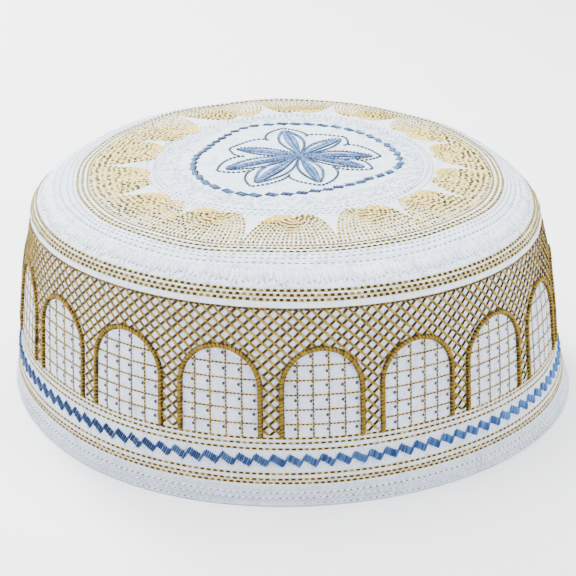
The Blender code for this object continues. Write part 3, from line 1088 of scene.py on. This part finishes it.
# white rings of the crown, its woolly inner band and the shoulder's white zigzag
whiteStitches = {
    "stitch": (2.1 * mm, 0.55 * mm, 0.26 * mm, 0.9),
    "zigzagStrokes": 680,
    "zigzagRadii": (80.2, 84.4),
    "zigzagStrand": (0.46 * mm, 0.34 * mm),
    "woolCount": 1300,
    "woolRadii": (37.5, 45.2),
    "woolStrand": (0.42 * mm, 0.24 * mm),
}
print("white stitches")
bundle = []
for radius in (*lines["ghostRings"], *lines["innerRings"]):
    sewPlan(bundle, turnPlan(fullTurn, radius + wander(0.25)), *whiteStitches["stitch"])
finishThreads("whiteRings", bundle, "ghostThread")
bundle = []
low, high = whiteStitches["zigzagRadii"]
for phase in (0.0, 0.37, 0.71):
    turns = (np.arange(whiteStitches["zigzagStrokes"] + 1) + phase) * 360 / whiteStitches["zigzagStrokes"]
    radii = shake(np.where(np.arange(len(turns)) % 2, low, high), 0.5)
    runs = crownRun(radii * mm)
    points = skin(crown, turns, runs, 0.04 * mm)
    sew(bundle, plainStrand, points[:-1], points[1:], skinUp(crown, turns[:-1], (runs[:-1] + runs[1:]) / 2),
        *whiteStitches["zigzagStrand"])
finishThreads("whiteZigzag", bundle, "shoulderThread")
bundle = []
spots = chance.uniform(-180, 180, whiteStitches["woolCount"])
radii = chance.uniform(*whiteStitches["woolRadii"], len(spots))
radii += np.interp(spots, (-180, 0, 180), (1, -1, 1))
bearing = chance.uniform(0, math.tau, len(spots))
reach = chance.uniform(0.5, 1.1, len(spots)) * (np.cos(bearing), np.sin(bearing))
sewAcross(bundle, plainStrand, turnPlan(spots, radii).T, reach.T, *whiteStitches["woolStrand"])
finishThreads("whiteWool", bundle, "woolThread")


# blue ring of slanted satin blocks round the flower
blueRing = {
    "blocks": 47,
    "places": ((-180, 35.4), (-157, 35.7), (-132.5, 32.5), (-107, 31.5), (-86, 32.3), (-63, 33.7),
               (-45.5, 34.7), (-30, 35.9), (-17, 35.7), (-2.4, 34.2), (13.6, 32.7), (33, 31.5), (54, 32.6),
               (71, 36.0), (85, 37.9), (98, 37.6), (121, 37.2), (139, 36.4), (155, 35.7), (180, 35.4)),
    "step": 0.72,                 # mm between a block's strands
    "strands": 5,
    "strandReach": 1.25,          # half a strand, in mm
    "slant": 52,                  # degrees of a strand from the ring
    "strand": (0.66 * mm, 0.4 * mm, 0.22 * mm),
}
print("blue ring")
bundle = []
slide = (np.arange(blueRing["strands"]) - (blueRing["strands"] - 1) / 2) * blueRing["step"]
lean = math.radians(blueRing["slant"])
for number in range(blueRing["blocks"]):
    turn = shake(-180 + (number + 0.5) * 360 / blueRing["blocks"], 0.35)
    radius = shake(np.interp(turn, *np.transpose(blueRing["places"])), 0.15)
    ring = np.array((math.cos(math.radians(turn)), math.sin(math.radians(turn))))     # towards +turn
    inward = np.array((-ring[1], ring[0]))
    middles = turnPlan(turn, radius) + slide[:, None] * (0.94 * ring - 0.34 * inward)
    reach = blueRing["strandReach"] * (math.cos(lean) * ring + math.sin(lean) * inward)
    sewAcross(bundle, bowedStrand, middles, reach, *blueRing["strand"])
finishThreads("blueRing", bundle, "slateBlueThread")


# the flower in the crown's middle
flower = {
    "centre": (3.8, 0.7),
    # tip of each petal and the valley after it, each as turn and radius in mm
    "tips": ((-176.3, 29.7), (-111.5, 23.5), (-58.5, 26.7), (-22.1, 29.6), (22.4, 28.2), (69.3, 29.7),
             (96.2, 31.7), (138.5, 28.5)),
    "valleys": ((-157.4, 17.6), (-87.2, 15.1), (-39.0, 16.5), (1.8, 17.2), (56.1, 17.5), (85.7, 22.7),
                (123.5, 22.1), (164.3, 21.3)),
    "outlineStitch": (1.6 * mm, 1.0 * mm, 0.4 * mm, 0.74),
    "rimStitch": (1.28 * mm, 0.6 * mm, 0.4 * mm, 0.62),
    "satinPitch": 0.5,
    "coreShare": 0.06,            # half width of the petal's satin core as a share of its length
    "coreStrand": (0.6 * mm, 0.35 * mm, 0.2 * mm),
    "rimShare": 0.13,             # and of the narrow satin rim round it
    "rimReach": 0.42,             # half width of the rim, in mm
    "rimStrand": (0.42 * mm, 0.3 * mm, 0.15 * mm),
}
print("flower")
outline, satin = [], []
centre = np.array(flower["centre"])
for number, tip in enumerate(flower["tips"]):
    axis = turnPlan(*tip) - centre
    length = float(np.hypot(*axis))
    axis /= length
    across = np.array((-axis[1], axis[0]))
    for valley in (flower["valleys"][number - 1], flower["valleys"][number]):
        away = turnPlan(*valley) - centre
        ahead, aside = float(away @ axis), float(away @ across)
        up, over = curve((ahead, aside), (ahead + 0.25 * (length - ahead), aside * 1.25),
                         (length * 0.88, aside * 0.95), (length, 0))
        sewPlan(outline, (centre + up[:, None] * axis + over[:, None] * across).T, *flower["outlineStitch"])
    places = np.arange(0.03 * length, 0.88 * length, flower["satinPitch"])
    swell = length * np.sin(np.pi * np.clip(places / (0.92 * length), 0, 1) ** 1.15)
    stem = centre + places[:, None] * axis
    for side in (-1, 1):
        outward = side * across
        ends = stem + (flower["coreShare"] * swell + 0.2)[:, None] * outward + 0.7 * axis
        sew(satin, bowedStrand, crownPlan(*stem.T), crownPlan(*ends.T), crownUp(*stem.T),
            *flower["coreStrand"])
        rim = stem + flower["rimShare"] * swell[:, None] * outward
        reach = flower["rimReach"] * (outward + 0.9 * axis)
        sewAcross(satin, bowedStrand, rim, reach, *flower["rimStrand"])
        edge = rim + 0.8 * flower["rimReach"] * outward
        sewPlan(outline, edge.T, *flower["rimStitch"], lift=0.12 * mm)
finishThreads("flowerOutline", outline, "tealThread")
finishThreads("flowerSatin", satin, "steelBlueThread")


# camera at the photograph's place, light and floor
camera = {
    "target": (-0.00192, -0.00022, 0.02869),
    "elevation": 24.0,
    "distance": 0.52947,
    "focalPixels": 1516.9,        # at the photograph's 576 pixels
    "pictureSide": 576,
    "roll": 0.77,
    "sensor": 36.0,
}


def makeCamera():
    tilt, roll = math.radians(camera["elevation"]), math.radians(camera["roll"])
    back = Vector((0, -math.cos(tilt), math.sin(tilt)))
    right, up = Vector((1, 0, 0)), Vector((0, math.sin(tilt), math.cos(tilt)))
    across = math.cos(roll) * right + math.sin(roll) * up
    upwards = math.cos(roll) * up - math.sin(roll) * right
    data = bpy.data.cameras.new("studioCamera")
    data.sensor_width = camera["sensor"]
    data.lens = camera["focalPixels"] / camera["pictureSide"] * camera["sensor"]
    data.clip_start, data.clip_end = 0.01, 50
    eye = addObject("studioCamera", data)
    turned = Matrix((across, upwards, back)).transposed().to_4x4()
    eye.matrix_world = Matrix.Translation(Vector(camera["target"]) + camera["distance"] * back) @ turned
    bpy.context.scene.camera = eye


studio = {
    "world": ((0.84, 0.91, 1.0), 0.6),
    "floor": (0.92, 0.92, 0.92),
    # name, place, size, watts, colour
    "lamps": (("skyLamp", (-0.1, 0.05, 1.0), 0.9, 35.5, (0.97, 0.985, 1.0)),
              ("backLamp", (-0.5, 0.8, 0.75), 0.35, 30.0, (0.98, 0.99, 1.0)),
              ("leftLamp", (-1.0, -0.45, 0.4), 0.5, 11.5, (0.96, 0.98, 1.0)),
              ("rightLamp", (1.0, -0.45, 0.45), 0.5, 14.0, (0.96, 0.98, 1.0))),
}


def makeStudio():
    world = bpy.data.worlds.new("studioAir")
    bpy.context.scene.world = world
    world.use_nodes = True
    sky = world.node_tree.nodes["Background"]
    sky.inputs["Color"].default_value = (*studio["world"][0], 1.0)
    sky.inputs["Strength"].default_value = studio["world"][1]
    for name, place, size, power, colour in studio["lamps"]:
        data = bpy.data.lights.new(name, "AREA")
        data.energy, data.size, data.color = power, size, colour
        lamp = addObject(name, data)
        lamp.location = place
        lamp.rotation_euler = (Vector((0, 0, 0.04)) - lamp.location).to_track_quat("-Z", "Y").to_euler()
    clearSelection()
    bpy.ops.mesh.primitive_plane_add(size=12, location=(0, 0, 0))
    floor = bpy.context.object
    floor.name = "studioFloor"
    pale = Finish("studioPaper", Roughness=0.9, Specular_IOR_Level=0.2)
    grain = pale.noise(pale.add("ShaderNodeTexCoord", None, None, 3), 6.0, 2.0)
    paper = studio["floor"]
    darker = tuple(0.98 * c for c in paper)
    floor.data.materials.append(pale.wear(pale.mix(grain, paper, darker)))


makeCamera()
makeStudio()
